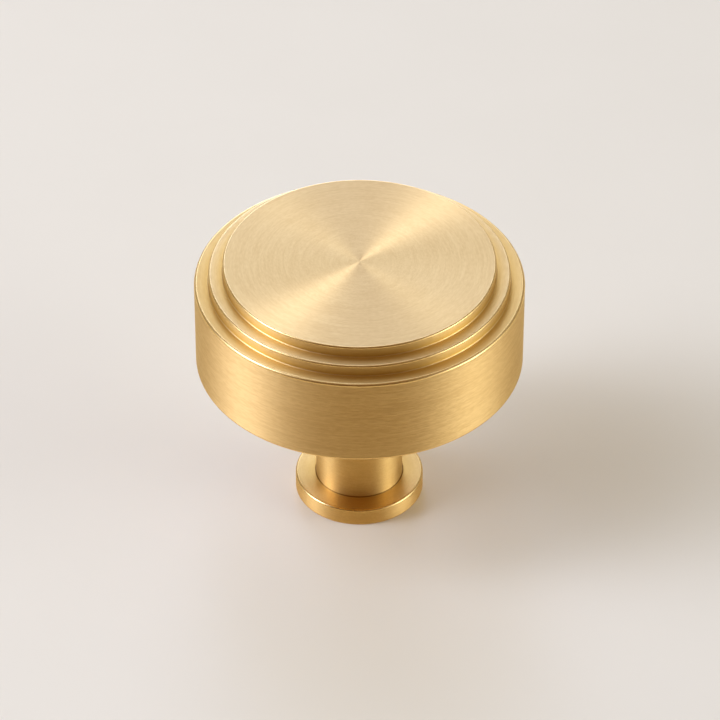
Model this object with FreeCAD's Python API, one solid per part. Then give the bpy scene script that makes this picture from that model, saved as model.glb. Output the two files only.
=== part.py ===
"""A round stepped cabinet knob, turned from one solid brass bar.

A wide drum-shaped head carries two shallow round steps that lead up to a flat
top. It stands on a slim straight stem that ends in a round foot. The foot's
flat back is the face that meets the door or drawer front, and a tapped blind
hole in its middle takes the fixing screw that comes through from behind.

The knob has one axis, and every surface on it is cut by turning about it, so
the whole solid is a single outline, revolved. The origin is the centre of the
foot's back face, and +Z runs along the axis towards the top of the head.
Lengths are in millimetres and angles in degrees.
"""

import math
import os

import FreeCAD
import Part

# Head
head_diameter = 38.0
head_wall_height = 11.0
head_edge_radius = 0.3
head_underside_edge_radius = 0.3

# Steps between the head's wall and its flat top
step_count = 2
step_width = 1.65
step_height = 1.35
step_edge_radius = 0.22
step_root_radius = 0.16

# Stem
stem_diameter = 10.2
stem_length = 17.5
stem_head_fillet_radius = 0.4
stem_foot_fillet_radius = 0.2

# Foot, a flange that stands out all round the stem
foot_overhang = 2.45
foot_thickness = 2.25
foot_edge_radius = 0.25
foot_back_edge_radius = 0.2

# Blind hole for the fixing screw, with a metric coarse thread
thread_diameter = 4.0
thread_pitch = 0.7
tap_hole_depth = 12.0
drill_point_angle = 118.0
countersink_margin = 0.3
countersink_angle = 90.0

# A rounded corner uses at most this share of the shorter side next to it
largest_corner_share = 0.45

# Radii that follow from the sizes above
head_radius = head_diameter / 2
stem_radius = stem_diameter / 2
foot_radius = stem_radius + foot_overhang
tap_drill_radius = (thread_diameter - thread_pitch) / 2
countersink_radius = thread_diameter / 2 + countersink_margin

# Levels along the axis, from the foot's back face up
foot_top = foot_thickness
head_bottom = foot_top + stem_length
head_wall_top = head_bottom + head_wall_height
head_top = head_wall_top + step_count * step_height


def cone_height(large_radius, small_radius, full_angle):
    """The height over which a cone of that full angle narrows between the radii."""
    return (large_radius - small_radius) / math.tan(math.radians(full_angle / 2))


def head_corners():
    """The head's outline from the top centre, down its steps and wall to the underside."""
    corners = [(0.0, head_top, 0.0)]
    for step in range(step_count, 0, -1):
        radius = head_radius - step * step_width
        tread = head_wall_top + (step - 1) * step_height
        corners.append((radius, tread + step_height, step_edge_radius))
        corners.append((radius, tread, step_root_radius))
    corners.append((head_radius, head_wall_top, head_edge_radius))
    corners.append((head_radius, head_bottom, head_underside_edge_radius))
    return corners


def stem_corners():
    """The stem's two ends, each with the fillet that the turning tool leaves."""
    return [
        (stem_radius, head_bottom, stem_head_fillet_radius),
        (stem_radius, foot_top, stem_foot_fillet_radius),
    ]


def foot_corners():
    """The foot's rim, from its front edge to its flat back."""
    return [
        (foot_radius, foot_top, foot_edge_radius),
        (foot_radius, 0.0, foot_back_edge_radius),
    ]


def hole_corners():
    """The tapped hole's outline: countersunk mouth, straight wall, drill point."""
    mouth_depth = cone_height(countersink_radius, tap_drill_radius, countersink_angle)
    point_height = cone_height(tap_drill_radius, 0.0, drill_point_angle)
    return [
        (countersink_radius, 0.0, 0.0),
        (tap_drill_radius, mouth_depth, 0.0),
        (tap_drill_radius, tap_hole_depth, 0.0),
        (0.0, tap_hole_depth + point_height, 0.0),
    ]


def rounded_corner(before, corner, after, radius):
    """Start, middle and end of the arc that rounds a corner, tangent to both its sides."""
    to_before = before - corner
    to_after = after - corner
    half_angle = to_before.getAngle(to_after) / 2
    longest_setback = largest_corner_share * min(to_before.Length, to_after.Length)
    setback = min(radius / math.tan(half_angle), longest_setback)
    fitted_radius = setback * math.tan(half_angle)
    to_before.normalize()
    to_after.normalize()
    inwards = (to_before + to_after).normalize()
    crown = fitted_radius / math.sin(half_angle) - fitted_radius
    return [corner + to_before * setback, corner + inwards * crown, corner + to_after * setback]


def outline_wire(corners):
    """A closed wire in the XZ plane through corners of (radius, level, rounding)."""
    points = [FreeCAD.Vector(radius, 0, level) for radius, level, _ in corners]
    stops = []
    for index, (_, _, rounding) in enumerate(corners):
        corner = points[index]
        if rounding > 0:
            before = points[index - 1]
            after = points[(index + 1) % len(points)]
            stops.append(rounded_corner(before, corner, after, rounding))
        else:
            stops.append([corner])
    edges = []
    for here, following in zip(stops, stops[1:] + stops[:1]):
        if len(here) == 3:
            edges.append(Part.Arc(*here).toShape())
        edges.append(Part.LineSegment(here[-1], following[0]).toShape())
    return Part.Wire(edges)


def turned_solid(corners):
    """The solid that an outline sweeps in one full turn about the knob's axis."""
    section = Part.Face(outline_wire(corners))
    return section.revolve(FreeCAD.Vector(0, 0, 0), FreeCAD.Vector(0, 0, 1), 360)


def make_knob():
    """The whole knob, in one piece."""
    return turned_solid(head_corners() + stem_corners() + foot_corners() + hole_corners())


def main():
    """Builds the knob and writes it as a STEP file."""
    knob = make_knob()
    if not knob.isValid():
        raise ValueError("the knob's outline does not make a valid solid")
    os.makedirs("parts", exist_ok=True)
    knob.exportStep("parts/knob.step")
    print(f"knob: {knob.ShapeType}, {len(knob.Faces)} faces, {knob.Volume:.1f} mm3")
    print(f"knob: {2 * head_radius:.2f} mm across, {head_top:.2f} mm tall")


main()
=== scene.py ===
"""Builds and dresses the brass cabinet knob, and stages it in a small pale studio.

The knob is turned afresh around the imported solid, from the same sizes, with
fine rounded edges and the screw thread cut into its hole. Lengths are metres.
"""

import logging
import math
from dataclasses import dataclass
from enum import Enum
from typing import ClassVar, Iterable, Sequence

import bmesh
import bpy
from mathutils import Matrix, Vector


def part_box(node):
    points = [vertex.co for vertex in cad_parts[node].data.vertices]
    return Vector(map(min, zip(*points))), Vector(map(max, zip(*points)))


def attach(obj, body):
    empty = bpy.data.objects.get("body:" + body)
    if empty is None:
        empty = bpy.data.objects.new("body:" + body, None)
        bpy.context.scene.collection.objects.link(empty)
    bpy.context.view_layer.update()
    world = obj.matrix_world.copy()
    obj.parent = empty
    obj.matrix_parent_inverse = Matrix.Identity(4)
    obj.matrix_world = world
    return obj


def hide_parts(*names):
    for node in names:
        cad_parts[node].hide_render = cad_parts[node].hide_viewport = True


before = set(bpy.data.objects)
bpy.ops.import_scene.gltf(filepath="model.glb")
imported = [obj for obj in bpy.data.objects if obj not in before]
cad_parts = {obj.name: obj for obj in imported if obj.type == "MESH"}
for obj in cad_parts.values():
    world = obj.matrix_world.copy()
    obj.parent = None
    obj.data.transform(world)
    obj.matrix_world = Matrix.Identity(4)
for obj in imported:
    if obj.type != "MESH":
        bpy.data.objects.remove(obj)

log = logging.getLogger("cabinet_knob")

MM = 0.001
NEAR = 0.01 * MM         # places closer than this are the same corner
MERGED = 0.001 * MM      # vertices closer than this become one
ON_PLANE = 0.0001 * MM   # vertices closer than this to a cutting plane lie on it
KNOB_NODE = "knob"
BODY = "root"
POLISH = "polish"        # attribute on the faces: how rough the brush leaves each one
PAINTED_SHADE = "painted_shade"        # attribute on the vertices: how much painted shade, a deeper brass colour, each one gets
UP = Vector((0, 0, 1))


def linear(hex_colour: str, alpha: float = 1.0) -> tuple[float, float, float, float]:
    """Turns an sRGB hex colour into Blender's linear colour.

    Args:
        hex_colour: Six hex digits after a hash sign.
        alpha: The fourth channel.

    Returns:
        Linear red, green and blue, and the alpha.
    """
    parts = [int(hex_colour[i:i + 2], 16) / 255 for i in (1, 3, 5)]
    straight = [p / 12.92 if p <= 0.04045 else ((p + 0.055) / 1.055) ** 2.4 for p in parts]
    return (*straight, alpha)


def add_node(
    tree: bpy.types.NodeTree, kind: str, inputs: dict | None = None, **settings: object,
) -> bpy.types.Node:
    """Adds a node, with its settings, values and links.

    Args:
        tree: The node tree that gets the node.
        kind: The node's type, without the ShaderNode at its start.
        inputs: Socket name or number to a value, or to an output socket to link from.
        settings: The node's own properties.

    Returns:
        The new node.
    """
    node = tree.nodes.new(f"ShaderNode{kind}")
    for name, value in settings.items():
        setattr(node, name, value)
    for key, value in (inputs or {}).items():
        if isinstance(value, bpy.types.NodeSocket):
            tree.links.new(value, node.inputs[key])
        else:
            node.inputs[key].default_value = value
    return node


def new_material(name: str) -> tuple[bpy.types.Material, bpy.types.NodeTree]:
    """Makes an empty material that uses nodes.

    Args:
        name: The material's name.

    Returns:
        The material and its cleared node tree.
    """
    material = bpy.data.materials.new(name)
    material.use_nodes = True
    material.node_tree.nodes.clear()
    return material, material.node_tree


class Cut(Enum):
    """How a brass surface was cut, which is also its material's place on the piece."""

    BRUSHED = 0
    TAPPED = 1


class Place(Enum):
    """A kind of place on the outside of the knob. The brush leaves each one with its own polish."""

    TOP = "top"
    LEDGE = "ledge"
    WALL = "wall"
    RISER = "riser"
    STEM = "stem"
    FOOT = "foot"
    EDGE = "edge"
    ROOT = "root"


@dataclass(frozen=True)
class CornerShade:
    """How much painted shade, a deeper brass colour, a corner gets on its upright side, its arc and its flat
    side.

    The colour stands in for the shade in and beside the corner. Past all of it, the corner also gets a
    painted dark line of shade.
    """

    # The full share of painted shade.
    DEEP: ClassVar[float] = 1.0
    # Past the full share: the painted dark line of shade in a crease.
    CREASE_SHADE: ClassVar[float] = 2.0

    upright: float = 0.0
    arc: float = 0.0
    flat: float = 0.0


@dataclass(frozen=True)
class Scratches:
    """One set of brush scratches: their spacing, how often each changes in a turn, and their share."""

    spacing: float
    changes: float
    share: float


@dataclass(frozen=True)
class CircularBrushedBrass:
    """Solid brass, turned and then brushed round its own axis with fine abrasive.

    Each scratch is part of a circle about the axis. The scratches scatter light
    across themselves and hardly along themselves, so that a lamp shows as a
    streak from the centre outwards, and as an upright band on the wall. The
    grit leaves scratches 0.02 to 0.1 mm apart. That is too fine to show, so the
    finest set is drawn 0.16 mm apart, and the coarser ones are the faint rings
    where the scratches bunch. Beside the inner corners and along some edges, a
    deeper colour is painted in as shade, and a thin dark line of painted shade
    lies where the stem meets the foot.
    """

    bright: str = "#DBBC84"
    deep: str = "#D3B27A"
    # Painted shade: a deeper brass colour laid beside the corners.
    recess_shade: str = "#CFA655"
    # Painted shade: a dark line laid in the crease where the stem meets the foot.
    crease_shade: str = "#86602F"
    top_roughness: float = 0.482
    ledge_roughness: float = 0.45
    wall_roughness: float = 0.6
    riser_roughness: float = 0.55
    stem_roughness: float = 0.5
    foot_roughness: float = 0.41
    edge_roughness: float = 0.25
    root_roughness: float = 0.4
    roughness_spread: float = 0.0135
    anisotropy: float = 0.87
    quarter_turn: float = 0.25          # turns the streaks across the scratches
    top_line_strength: float = 1.0
    side_line_strength: float = 1.7     # the lines show more on every other place than the top
    polish_step: float = 0.005          # places whose roughness differs by less are the same
    top_scratch_depth: float = 0.003 * MM
    wall_scratch_depth: float = 0.014 * MM
    scratches: tuple[Scratches, ...] = (
        Scratches(spacing=0.16 * MM, changes=20.0, share=0.42),
        Scratches(spacing=0.2 * MM, changes=3.5, share=0.26),
        Scratches(spacing=0.4 * MM, changes=2.0, share=0.2),
        Scratches(spacing=1.1 * MM, changes=1.2, share=0.12),
    )

    def roughness(self, place: Place) -> float:
        """How rough the brush leaves a kind of place."""
        return {
            Place.TOP: self.top_roughness,
            Place.LEDGE: self.ledge_roughness,
            Place.WALL: self.wall_roughness,
            Place.RISER: self.riser_roughness,
            Place.STEM: self.stem_roughness,
            Place.FOOT: self.foot_roughness,
            Place.EDGE: self.edge_roughness,
            Place.ROOT: self.root_roughness,
        }[place]

    def material(self) -> bpy.types.Material:
        """Makes the finish from coordinates that run with the brushing.

        Returns:
            The material, which reads Object coordinates, the mesh's own polish, and the shade painted on its
            vertices.
        """
        material, tree = new_material("circular_brushed_brass")
        place = add_node(tree, "TexCoord").outputs["Object"]
        height = add_node(tree, "SeparateXYZ", {0: place}).outputs["Z"]
        flat = add_node(tree, "VectorMath", {0: place, 1: (1, 1, 0)}, operation="MULTIPLY").outputs[0]
        radius = add_node(tree, "VectorMath", {0: flat}, operation="LENGTH").outputs["Value"]
        outwards = add_node(tree, "VectorMath", {0: flat}, operation="NORMALIZE").outputs[0]
        along = add_node(tree, "VectorMath", {0: UP, 1: outwards}, operation="CROSS_PRODUCT").outputs[0]
        brushing = add_node(
            tree, "VectorTransform", {0: along},
            vector_type="VECTOR", convert_from="OBJECT", convert_to="WORLD",
        ).outputs[0]
        across = add_node(tree, "Math", {0: radius, 1: height}, operation="SUBTRACT").outputs[0]

        polish = add_node(tree, "Attribute", attribute_name=POLISH).outputs["Fac"]
        lines = None
        for scratches in self.scratches:
            lines = self._lines(tree, outwards, across, scratches, lines)
        on_top = add_node(
            tree, "Math", {0: polish, 1: self.top_roughness, 2: self.polish_step}, operation="COMPARE",
        ).outputs[0]
        line_strength = add_node(
            tree, "MapRange", {0: on_top, 3: self.side_line_strength, 4: self.top_line_strength},
        ).outputs[0]
        lines = add_node(
            tree, "Math", {0: lines, 1: line_strength, 2: 0.5}, operation="MULTIPLY_ADD",
        ).outputs[0]

        brushed = add_node(
            tree, "Mix",
            {0: lines, 6: linear(self.deep), 7: linear(self.bright)},
            data_type="RGBA",
        ).outputs[2]
        # Painted shade: each vertex's share of shade mixes in the deeper brass colour near the corners.
        painted_shade = add_node(tree, "Attribute", attribute_name=PAINTED_SHADE).outputs["Fac"]
        with_painted_shade = add_node(
            tree, "Mix", {0: painted_shade, 6: brushed, 7: linear(self.recess_shade)}, data_type="RGBA",
        ).outputs[2]
        # Painted shade: past the full share, a dark line of shade in the crease of stem and foot.
        crease_shade = add_node(tree, "MapRange", {0: painted_shade, 1: CornerShade.DEEP, 2: CornerShade.CREASE_SHADE}).outputs[0]
        colour = add_node(
            tree, "Mix", {0: crease_shade, 6: with_painted_shade, 7: linear(self.crease_shade)}, data_type="RGBA",
        ).outputs[2]
        spread = add_node(
            tree, "MapRange", {0: lines, 3: self.roughness_spread, 4: -self.roughness_spread},
        ).outputs[0]
        roughness = add_node(tree, "Math", {0: polish, 1: spread}, operation="ADD").outputs[0]
        depth = add_node(
            tree, "MapRange",
            {
                0: polish,
                1: self.top_roughness, 2: self.wall_roughness,
                3: self.top_scratch_depth, 4: self.wall_scratch_depth,
            },
        ).outputs[0]
        relief = add_node(
            tree, "Bump", {"Strength": 1.0, "Distance": depth, "Height": lines},
        ).outputs[0]
        shader = add_node(
            tree, "BsdfPrincipled",
            {
                "Base Color": colour,
                "Metallic": 1.0,
                "Roughness": roughness,
                "Anisotropic": self.anisotropy,
                "Anisotropic Rotation": self.quarter_turn,
                "Tangent": brushing,
                "Normal": relief,
            },
        )
        add_node(tree, "OutputMaterial", {0: shader.outputs[0]})
        return material

    @staticmethod
    def _lines(
        tree: bpy.types.NodeTree,
        outwards: bpy.types.NodeSocket,
        across: bpy.types.NodeSocket,
        scratches: Scratches,
        before: bpy.types.NodeSocket | None,
    ) -> bpy.types.NodeSocket:
        """Draws one set of scratches round the axis, and adds it to the sets before it.

        Args:
            tree: The material's node tree.
            outwards: The unit vector away from the axis.
            across: The distance across the scratches.
            scratches: The set to draw.
            before: The sets drawn so far.

        Returns:
            A value round zero.
        """
        round_place = add_node(
            tree, "VectorMath", {0: outwards, "Scale": scratches.changes}, operation="SCALE",
        ).outputs[0]
        steps = add_node(tree, "Math", {0: across, 1: scratches.spacing}, operation="DIVIDE").outputs[0]
        step_place = add_node(tree, "CombineXYZ", {"Z": steps}).outputs[0]
        place = add_node(tree, "VectorMath", {0: round_place, 1: step_place}, operation="ADD").outputs[0]
        noise = add_node(tree, "TexNoise", {"Vector": place, "Scale": 1.0, "Detail": 1.0}).outputs[0]
        centred = add_node(tree, "Math", {0: noise, 1: 0.5}, operation="SUBTRACT").outputs[0]
        start = 0.0 if before is None else before
        noise_gain = 4.0         # the noise stays close to its middle, so it is spread out
        return add_node(
            tree, "Math", {0: centred, 1: noise_gain * scratches.share, 2: start},
            operation="MULTIPLY_ADD",
        ).outputs[0]


@dataclass(frozen=True)
class TappedBrass:
    """Brass left as the drill and the tap cut it: bright, with no brushing."""

    colour: str = "#DDB878"
    dark: str = "#C79E5C"
    roughness: float = 0.3
    grain: float = 0.4 * MM

    def material(self) -> bpy.types.Material:
        """Makes the finish of the hole.

        Returns:
            The material, which reads Object coordinates only.
        """
        material, tree = new_material("tapped_brass")
        place = add_node(tree, "TexCoord").outputs["Object"]
        noise = add_node(
            tree, "TexNoise", {"Vector": place, "Scale": 1 / self.grain, "Detail": 3.0},
        ).outputs[0]
        colour = add_node(
            tree, "Mix",
            {0: noise, 6: linear(self.dark), 7: linear(self.colour)},
            data_type="RGBA",
        ).outputs[2]
        shader = add_node(
            tree, "BsdfPrincipled",
            {"Base Color": colour, "Metallic": 1.0, "Roughness": self.roughness},
        )
        add_node(tree, "OutputMaterial", {0: shader.outputs[0]})
        return material


@dataclass(frozen=True)
class Corner:
    """One corner of the turned outline, with the radius that it is rounded to."""

    radius: float
    level: float
    rounding: float = 0.0
    place: Place = Place.EDGE
    tone: CornerShade = CornerShade()

    def holds(self, vert: bmesh.types.BMVert) -> bool:
        """Whether a vertex lies on the ring that this corner sweeps."""
        return abs(vert.co.xy.length - self.radius) < NEAR and abs(vert.co.z - self.level) < NEAR

    def tone_at(self, vert: bmesh.types.BMVert) -> float:
        """The share of painted shade, a deeper brass colour, at a vertex of the rounded corner."""
        if abs(vert.co.xy.length - self.radius) < NEAR:
            return self.tone.upright
        return self.tone.flat if abs(vert.co.z - self.level) < NEAR else self.tone.arc


@dataclass
class TappedHole:
    """The blind hole in the foot, with its countersunk mouth and metric thread."""

    thread_radius: float = 2.0 * MM
    pitch: float = 0.7 * MM
    drill_radius: float = 1.65 * MM
    mouth_radius: float = 2.3 * MM
    thread_depth: float = 10.4 * MM
    drill_depth: float = 12.0 * MM
    drill_point_angle: float = math.radians(118)
    flank_angle: float = math.radians(30)
    run_out: float = 1.05 * MM
    steps_per_turn: int = 64

    def _groove(self) -> list[tuple[float, float]]:
        """The thread's outline over one pitch, as (radius, level)."""
        flank = (self.thread_radius - self.drill_radius) * math.tan(self.flank_angle)
        root = self.pitch / 8
        crest = self.pitch - 2 * flank - root
        return [
            (self.drill_radius, 0.0),
            (self.drill_radius, crest),
            (self.thread_radius, crest + flank),
            (self.thread_radius, crest + flank + root),
            (self.drill_radius, self.pitch),
        ]

    def cut(self, shell: bmesh.types.BMesh) -> None:
        """Makes the hole's wall in an empty mesh: mouth, thread, drilled end and drill point.

        Args:
            shell: The knob's mesh, before anything else is in it.
        """
        self._wind_thread(shell)
        self._cut_flat(shell, 0.0, -UP)
        self._cut_flat(shell, self.thread_depth, UP)
        for vert in shell.verts:
            self._shape_ends(vert)
        self._close_end(shell)

    def _wind_thread(self, shell: bmesh.types.BMesh) -> None:
        """Spins one turn of the thread, and stacks copies of it from below the mouth upwards."""
        verts = [shell.verts.new((r, 0, z - 2 * self.pitch)) for r, z in self._groove()]
        edges = [shell.edges.new(pair) for pair in zip(verts, verts[1:])]
        bmesh.ops.spin(
            shell, geom=verts + edges, cent=(0, 0, 0), axis=UP,
            dvec=(0, 0, self.pitch / self.steps_per_turn), angle=math.tau,
            steps=self.steps_per_turn, use_merge=False, use_duplicate=False,
        )
        turn = list(shell.verts) + list(shell.edges) + list(shell.faces)
        for number in range(1, math.ceil(self.thread_depth / self.pitch) + 3):
            copy = bmesh.ops.duplicate(shell, geom=turn)["geom"]
            copied = [g for g in copy if isinstance(g, bmesh.types.BMVert)]
            bmesh.ops.translate(shell, verts=copied, vec=(0, 0, number * self.pitch))
        bmesh.ops.remove_doubles(shell, verts=shell.verts, dist=MERGED)

    @staticmethod
    def _cut_flat(shell: bmesh.types.BMesh, level: float, away: Vector) -> None:
        """Cuts the thread off flat at a level.

        Args:
            shell: The hole's mesh.
            level: Where the cut is.
            away: The side that is dropped.
        """
        bmesh.ops.bisect_plane(
            shell, geom=list(shell.verts) + list(shell.edges) + list(shell.faces), dist=ON_PLANE,
            plane_co=(0, 0, level), plane_no=away, clear_outer=True, clear_inner=False,
        )

    def _shape_ends(self, vert: bmesh.types.BMVert) -> None:
        """Opens the thread to the countersink at its mouth, and lets it run out at its end."""
        radius = vert.co.xy.length
        fade = min(1.0, (self.thread_depth - vert.co.z) / self.run_out)
        wanted = self.drill_radius + (radius - self.drill_radius) * max(0.0, fade)
        wanted = max(wanted, self.mouth_radius - vert.co.z)
        vert.co.x *= wanted / radius
        vert.co.y *= wanted / radius

    def open_ring(self, shell: bmesh.types.BMesh, level: float) -> list[bmesh.types.BMEdge]:
        """The hole's open edges at a level."""
        widest = self.mouth_radius + MERGED
        return [
            e for e in shell.edges
            if e.is_boundary
            and all(abs(v.co.z - level) < MERGED and v.co.xy.length < widest for v in e.verts)
        ]

    def _close_end(self, shell: bmesh.types.BMesh) -> None:
        """Runs the plain drilled wall up from the thread, and ends it in the drill's cone."""
        wall = bmesh.ops.extrude_edge_only(shell, edges=self.open_ring(shell, self.thread_depth))["geom"]
        high = [g for g in wall if isinstance(g, bmesh.types.BMVert)]
        bmesh.ops.translate(shell, verts=high, vec=(0, 0, self.drill_depth - self.thread_depth))
        high_edges = [g for g in wall if isinstance(g, bmesh.types.BMEdge)]
        cone = bmesh.ops.extrude_edge_only(shell, edges=high_edges)["geom"]
        tip = [g for g in cone if isinstance(g, bmesh.types.BMVert)]
        point_height = self.drill_radius / math.tan(self.drill_point_angle / 2)
        bmesh.ops.pointmerge(shell, verts=tip, merge_co=(0, 0, self.drill_depth + point_height))


@dataclass
class TurnedKnob:
    """The knob in one piece: head with two steps, stem, foot and tapped hole."""

    wall_height: float = 11.0 * MM
    step_count: int = 2
    step_width: float = 1.65 * MM
    step_height: float = 1.35 * MM
    stem_radius: float = 5.1 * MM
    foot_radius: float = 7.55 * MM
    foot_thickness: float = 2.25 * MM
    head_edge: float = 0.3 * MM
    step_edge: float = 0.22 * MM
    step_root: float = 0.16 * MM
    stem_head_fillet: float = 0.4 * MM
    stem_foot_fillet: float = 0.2 * MM
    foot_edge: float = 0.25 * MM
    foot_back_edge: float = 0.2 * MM
    hole_margin: float = 0.4 * MM
    sides: int = 288
    rounding_segments: int = 6
    top_rings: int = 5
    crisp_angle: float = math.radians(25)
    finish: CircularBrushedBrass = CircularBrushedBrass()

    def outline(self, hole: TappedHole) -> list[Corner]:
        """Lists the outline's corners, from the top centre to the hole's mouth.

        Args:
            hole: The hole that the foot's back face stops at.

        Returns:
            The corners in order.
        """
        lowest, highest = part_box(KNOB_NODE)
        head = highest.x
        top = highest.z
        plateau = head - self.step_count * self.step_width
        corners = [Corner(plateau * ring / self.top_rings, top) for ring in range(self.top_rings)]
        # Each corner's tone is painted shade: darkest in the step roots and stem fillets, lighter beside
        # some edges.
        root_tone = CornerShade(upright=CornerShade.DEEP, flat=0.8)
        for step in range(self.step_count, 0, -1):
            radius = head - step * self.step_width
            corners.append(Corner(radius, top, self.step_edge, tone=CornerShade(upright=0.2)))
            top -= self.step_height
            corners.append(Corner(radius, top, self.step_root, Place.ROOT, root_tone))
        underside = top - self.wall_height
        neck, seat = self.stem_radius, self.foot_thickness
        neck_tone = CornerShade(upright=0.2, arc=CornerShade.DEEP, flat=0.5)
        # The crease of stem and foot gets the painted dark line of shade on its arc.
        seat_tone = CornerShade(upright=0.45, arc=CornerShade.CREASE_SHADE, flat=0.8)
        foot_tone = CornerShade(upright=0.35, flat=0.4)
        corners += [
            Corner(head, top, self.head_edge, tone=CornerShade(flat=0.4)),
            Corner(head, underside, self.head_edge),
            Corner(neck, underside, self.stem_head_fillet, Place.STEM, neck_tone),
            Corner(neck, seat, self.stem_foot_fillet, Place.STEM, seat_tone),
            Corner(self.foot_radius, seat, self.foot_edge, tone=foot_tone),
            Corner(self.foot_radius, lowest.z, self.foot_back_edge, tone=CornerShade(upright=0.35)),
            Corner(hole.mouth_radius + self.hole_margin, lowest.z),
        ]
        return corners

    def build(self, hole: TappedHole) -> bpy.types.Object:
        """Turns the outline, rounds its edges and cuts the hole.

        Args:
            hole: The tapped hole in the foot.

        Returns:
            The knob's object, at the origin.
        """
        corners = self.outline(hole)
        shell = bmesh.new()
        hole.cut(shell)
        self._turn(shell, corners)
        self._round_edges(shell, corners)
        rim = [e for e in shell.edges if e.is_boundary and all(map(corners[-1].holds, e.verts))]
        bmesh.ops.bridge_loops(shell, edges=rim + hole.open_ring(shell, 0.0))
        bmesh.ops.recalc_face_normals(shell, faces=shell.faces)
        self._shade(shell, hole)
        open_edges = sum(not e.is_manifold for e in shell.edges)
        log.info("knob mesh: %d faces, %d open edges", len(shell.faces), open_edges)
        mesh = bpy.data.meshes.new("knob_turned")
        shell.to_mesh(mesh)
        shell.free()
        knob = bpy.data.objects.new("knob_turned", mesh)
        bpy.context.scene.collection.objects.link(knob)
        knob.modifiers.new("even_normals", "WEIGHTED_NORMAL").keep_sharp = True
        return knob

    def _turn(self, shell: bmesh.types.BMesh, corners: Sequence[Corner]) -> None:
        """Spins the sharp outline about the axis.

        Args:
            shell: The empty mesh.
            corners: The outline.
        """
        verts = [shell.verts.new((c.radius, 0, c.level)) for c in corners]
        edges = [shell.edges.new(pair) for pair in zip(verts, verts[1:])]
        bmesh.ops.spin(
            shell, geom=verts + edges, cent=(0, 0, 0), axis=UP,
            dvec=(0, 0, 0), angle=math.tau, steps=self.sides, use_merge=True, use_duplicate=False,
        )
        bmesh.ops.remove_doubles(shell, verts=shell.verts, dist=MERGED)

    def _round_edges(self, shell: bmesh.types.BMesh, corners: Iterable[Corner]) -> None:
        """Rounds each ring of edges to its own radius, and notes its polish and its painted shade.

        Args:
            shell: The turned mesh with sharp edges.
            corners: The outline, with each corner's rounding.
        """
        polish = shell.faces.layers.float.new(POLISH)
        painted_shade = shell.verts.layers.float.new(PAINTED_SHADE)
        for corner in corners:
            if corner.rounding <= 0:
                continue
            ring = [e for e in shell.edges if all(map(corner.holds, e.verts))]
            rounded = bmesh.ops.bevel(
                shell, geom=ring, offset=corner.rounding, offset_type="OFFSET",
                segments=self.rounding_segments, profile=0.5, affect="EDGES",
                clamp_overlap=True, material=-1,
            )
            for face in rounded["faces"]:
                face[polish] = self.finish.roughness(corner.place)
            # Each new face gets its polish; each new vertex gets its share of painted shade.
            for vert in rounded["verts"]:
                vert[painted_shade] = corner.tone_at(vert)

    def _shade(self, shell: bmesh.types.BMesh, hole: TappedHole) -> None:
        """Sets each face's finish, and keeps the cut edges of the thread crisp.

        Args:
            shell: The finished mesh.
            hole: The hole, whose faces have the tap's finish.
        """
        hole_end = hole.drill_depth + hole.drill_radius
        head_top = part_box(KNOB_NODE)[1].z
        polish = shell.faces.layers.float[POLISH]
        for face in shell.faces:
            face.smooth = True
            middle = face.calc_center_median()
            if not face[polish]:
                face[polish] = self.finish.roughness(self._place(face.normal.z, head_top - middle.z))
            in_hole = NEAR < middle.z < hole_end and middle.xy.length < hole.mouth_radius
            face.material_index = Cut.TAPPED.value if in_hole else Cut.BRUSHED.value
        for edge in shell.edges:
            edge.smooth = edge.calc_face_angle(0) < self.crisp_angle

    def _place(self, facing_up: float, depth: float) -> Place:
        """The kind of place that a face outside the rounded corners belongs to.

        Args:
            facing_up: The upward part of the face's normal.
            depth: How far below the knob's top the face is.

        Returns:
            The place.
        """
        steps = self.step_count * self.step_height
        head = steps + self.wall_height
        upright = 0.5            # the most that an upright face's normal points up or down
        if abs(facing_up) < upright:
            if depth < steps:
                return Place.RISER
            return Place.WALL if depth < head else Place.STEM
        if depth < 0.5 * self.step_height:
            return Place.TOP
        return Place.LEDGE if depth < head + self.stem_head_fillet else Place.FOOT

    def dress(self, knob: bpy.types.Object) -> None:
        """Gives the knob its two finishes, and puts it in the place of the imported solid.

        Args:
            knob: The finished object.
        """
        knob.data.materials.append(self.finish.material())
        knob.data.materials.append(TappedBrass().material())
        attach(knob, BODY)
        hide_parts(KNOB_NODE)


@dataclass(frozen=True)
class LightPanel:
    """A large far-off panel of soft light, which fades towards its sides. Angles are degrees."""

    name: str
    azimuth: float
    elevation: float
    half_width: float
    half_height: float
    strength: float
    colour: str

    def glow(
        self,
        tree: bpy.types.NodeTree,
        azimuth: bpy.types.NodeSocket,
        elevation: bpy.types.NodeSocket,
    ) -> bpy.types.NodeSocket:
        """The panel's light in each direction.

        Args:
            tree: The world's node tree.
            azimuth: The direction's azimuth.
            elevation: The direction's elevation.

        Returns:
            The panel's colour, times its brightness there.
        """
        middle_azimuth, middle_elevation = math.radians(self.azimuth), math.radians(self.elevation)
        aside = add_node(tree, "Math", {0: azimuth, 1: middle_azimuth}, operation="SUBTRACT").outputs[0]
        turn = add_node(tree, "Math", {0: aside, 1: math.pi, 2: -math.pi}, operation="WRAP").outputs[0]
        lift = add_node(tree, "Math", {0: elevation, 1: middle_elevation}, operation="SUBTRACT").outputs[0]
        offset = add_node(tree, "CombineXYZ", {"X": turn, "Y": lift}).outputs[0]
        size = (math.radians(self.half_width), math.radians(self.half_height), 1)
        share = add_node(tree, "VectorMath", {0: offset, 1: size}, operation="DIVIDE").outputs[0]
        square = add_node(tree, "VectorMath", {0: share, 1: share}, operation="DOT_PRODUCT").outputs["Value"]
        at_edge = math.exp(-1)   # what is left of the light at the panel's half width and half height
        fade = add_node(tree, "Math", {0: at_edge, 1: square}, operation="POWER").outputs[0]
        bright = add_node(tree, "Math", {0: fade, 1: self.strength}, operation="MULTIPLY").outputs[0]
        colour = linear(self.colour)[:3]
        return add_node(tree, "VectorMath", {0: colour, "Scale": bright}, operation="SCALE").outputs[0]


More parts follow.
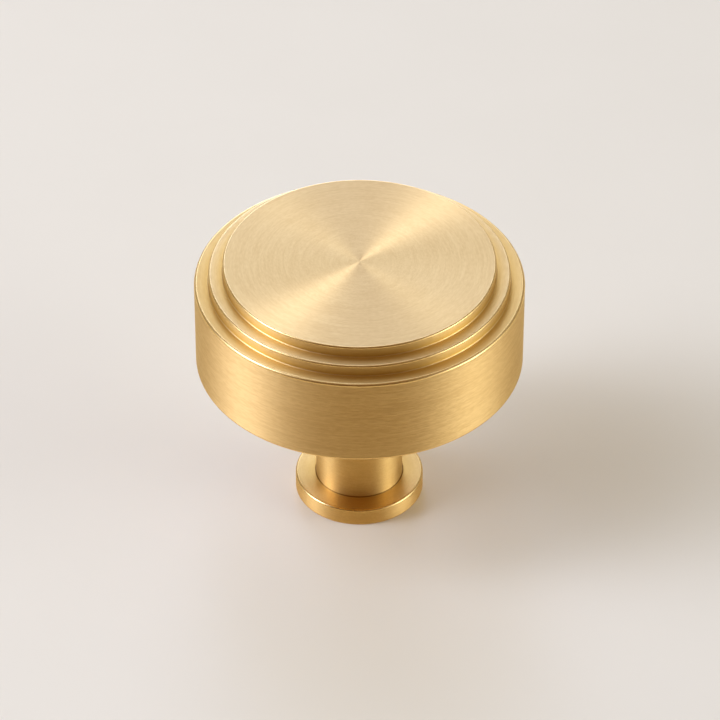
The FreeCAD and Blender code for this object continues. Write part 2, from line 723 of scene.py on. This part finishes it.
@dataclass
class Studio:
    """The floor, the panels of light and the camera. The camera's angles are degrees."""

    floor_half_size: float = 4.0
    # floor_left and floor_right are painted light: the floor's colour runs brighter towards its left.
    floor_left: str = "#EBE6DA"
    floor_right: str = "#E1DCCF"
    floor_span: float = 160 * MM
    # Painted reflection: the colour in which the brass reflects the floor, warmer than the floor itself.
    floor_in_brass: str = "#FFF0C6"
    floor_roughness: float = 0.9
    clouds_per_metre: float = 60.0
    cloud_share: float = 0.3
    sky_back: str = "#C2BA9D"
    sky_front: str = "#5D3600"
    sky_top: str = "#5A4300"
    panels: tuple[LightPanel, ...] = (
        LightPanel("left_panel", -172, 36, 15.4, 25, 11.9, "#DEE7FF"),
        LightPanel("right_panel", -15.2, 5.5, 20.5, 20, 7.8, "#F2FBFF"),
        LightPanel("back_panel", 94.4, 26, 12.4, 34, 5.8, "#C0D3FF"),
    )
    camera_elevation: float = 39.146
    camera_distance: float = 0.51695
    camera_aim: Vector = Vector((0.07 * MM, 0, 18.926 * MM))
    camera_roll: float = 0.086
    lens: float = 222.04
    sensor: float = 36.0

    def build(self) -> None:
        """Makes everything that isn't the knob."""
        self._floor()
        self._light()
        self._camera()

    def _floor(self) -> None:
        """Lays a wide floor of plaster board under the knob: pale, matt and faintly clouded.

        Its colour is painted a little brighter on its left, as painted light that lifts the long shadow of
        the low right panel there, and the brass shows a painted reflection of it, warmer than it is.
        """
        plate = bmesh.new()
        bmesh.ops.create_grid(plate, x_segments=1, y_segments=1, size=self.floor_half_size)
        mesh = bpy.data.meshes.new("floor")
        plate.to_mesh(mesh)
        plate.free()
        floor = bpy.data.objects.new("floor", mesh)
        bpy.context.scene.collection.objects.link(floor)
        material, tree = new_material("pale_plaster_board")
        place = add_node(tree, "TexCoord").outputs["Object"]
        sideways = add_node(tree, "SeparateXYZ", {0: place}).outputs["X"]
        # Painted light: the floor's colour runs from floor_left to floor_right across floor_span.
        painted_light_slope = add_node(
            tree, "MapRange", {0: sideways, 1: -self.floor_span / 2, 2: self.floor_span / 2},
        ).outputs[0]
        clouds = add_node(
            tree, "TexNoise", {"Vector": place, "Scale": self.clouds_per_metre, "Detail": 3.0},
        ).outputs[0]
        centred = add_node(tree, "Math", {0: clouds, 1: 0.5}, operation="SUBTRACT").outputs[0]
        blend = add_node(
            tree, "Math", {0: centred, 1: self.cloud_share, 2: painted_light_slope},
            operation="MULTIPLY_ADD", use_clamp=True,
        ).outputs[0]
        colour = add_node(
            tree, "Mix",
            {0: blend, 6: linear(self.floor_left), 7: linear(self.floor_right)},
            data_type="RGBA",
        ).outputs[2]
        # Painted reflection: rays reflected off the brass see the floor in floor_in_brass.
        in_brass = add_node(tree, "LightPath").outputs["Is Glossy Ray"]
        seen = add_node(
            tree, "Mix", {0: in_brass, 6: colour, 7: linear(self.floor_in_brass)}, data_type="RGBA",
        ).outputs[2]
        shader = add_node(
            tree, "BsdfPrincipled",
            {"Base Color": seen, "Roughness": self.floor_roughness, "Specular IOR Level": 0.0},
        )
        add_node(tree, "OutputMaterial", {0: shader.outputs[0]})
        mesh.materials.append(material)

    def _light(self) -> None:
        """Fills the room with soft light: a plain sky, brighter at the back, and the panels."""
        world = bpy.data.worlds.new("studio")
        bpy.context.scene.world = world
        world.use_nodes = True
        tree = world.node_tree
        tree.nodes.clear()
        direction = add_node(tree, "TexCoord").outputs["Generated"]
        parts = add_node(tree, "SeparateXYZ", {0: direction}).outputs
        azimuth = add_node(tree, "Math", {0: parts["Y"], 1: parts["X"]}, operation="ARCTAN2").outputs[0]
        elevation = add_node(tree, "Math", {0: parts["Z"]}, operation="ARCSINE").outputs[0]
        backward = add_node(tree, "MapRange", {0: parts["Y"], 1: -1.0}).outputs[0]
        light = add_node(
            tree, "Mix",
            {0: backward, 6: linear(self.sky_front), 7: linear(self.sky_back)},
            data_type="RGBA",
        ).outputs[2]
        upward = add_node(tree, "Math", {0: parts["Z"], 1: parts["Z"]}, operation="MULTIPLY").outputs[0]
        top = add_node(
            tree, "VectorMath", {0: linear(self.sky_top)[:3], "Scale": upward}, operation="SCALE",
        ).outputs[0]
        light = add_node(tree, "VectorMath", {0: light, 1: top}, operation="ADD").outputs[0]
        for panel in self.panels:
            glow = panel.glow(tree, azimuth, elevation)
            light = add_node(tree, "VectorMath", {0: light, 1: glow}, operation="ADD").outputs[0]
            log.info("light %s at azimuth %.0f", panel.name, panel.azimuth)
        sky = add_node(tree, "Background", {"Color": light, "Strength": 1.0})
        add_node(tree, "OutputWorld", {0: sky.outputs[0]})

    def _camera(self) -> None:
        """Sets the camera at the photograph's angle, with a long lens."""
        data = bpy.data.cameras.new("camera")
        data.lens = self.lens
        data.sensor_width = self.sensor
        camera = bpy.data.objects.new("camera", data)
        bpy.context.scene.collection.objects.link(camera)
        lift = math.radians(self.camera_elevation)
        back = Vector((0, -math.cos(lift), math.sin(lift)))
        roll = Matrix.Rotation(math.radians(self.camera_roll), 3, "Z")
        camera.location = self.camera_aim + back * self.camera_distance
        camera.rotation_euler = (back.to_track_quat("Z", "Y").to_matrix() @ roll).to_euler()
        bpy.context.scene.camera = camera


def clear_defaults() -> None:
    """Removes the lamp, camera and cube that Blender may start with, and leaves the frame's objects."""
    for name in ("Light", "Camera", "Cube"):
        if name in bpy.data.objects:
            bpy.data.objects.remove(bpy.data.objects[name])


def main() -> None:
    """Builds the knob and its studio, in order."""
    logging.basicConfig(level=logging.INFO)
    bpy.context.scene.view_settings.view_transform = "Standard"
    clear_defaults()
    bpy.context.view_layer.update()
    turned = TurnedKnob()
    knob = turned.build(TappedHole())
    turned.dress(knob)
    log.info("piece %s rides on %s", knob.name, BODY)
    Studio().build()


if __name__ == "__main__":
    main()
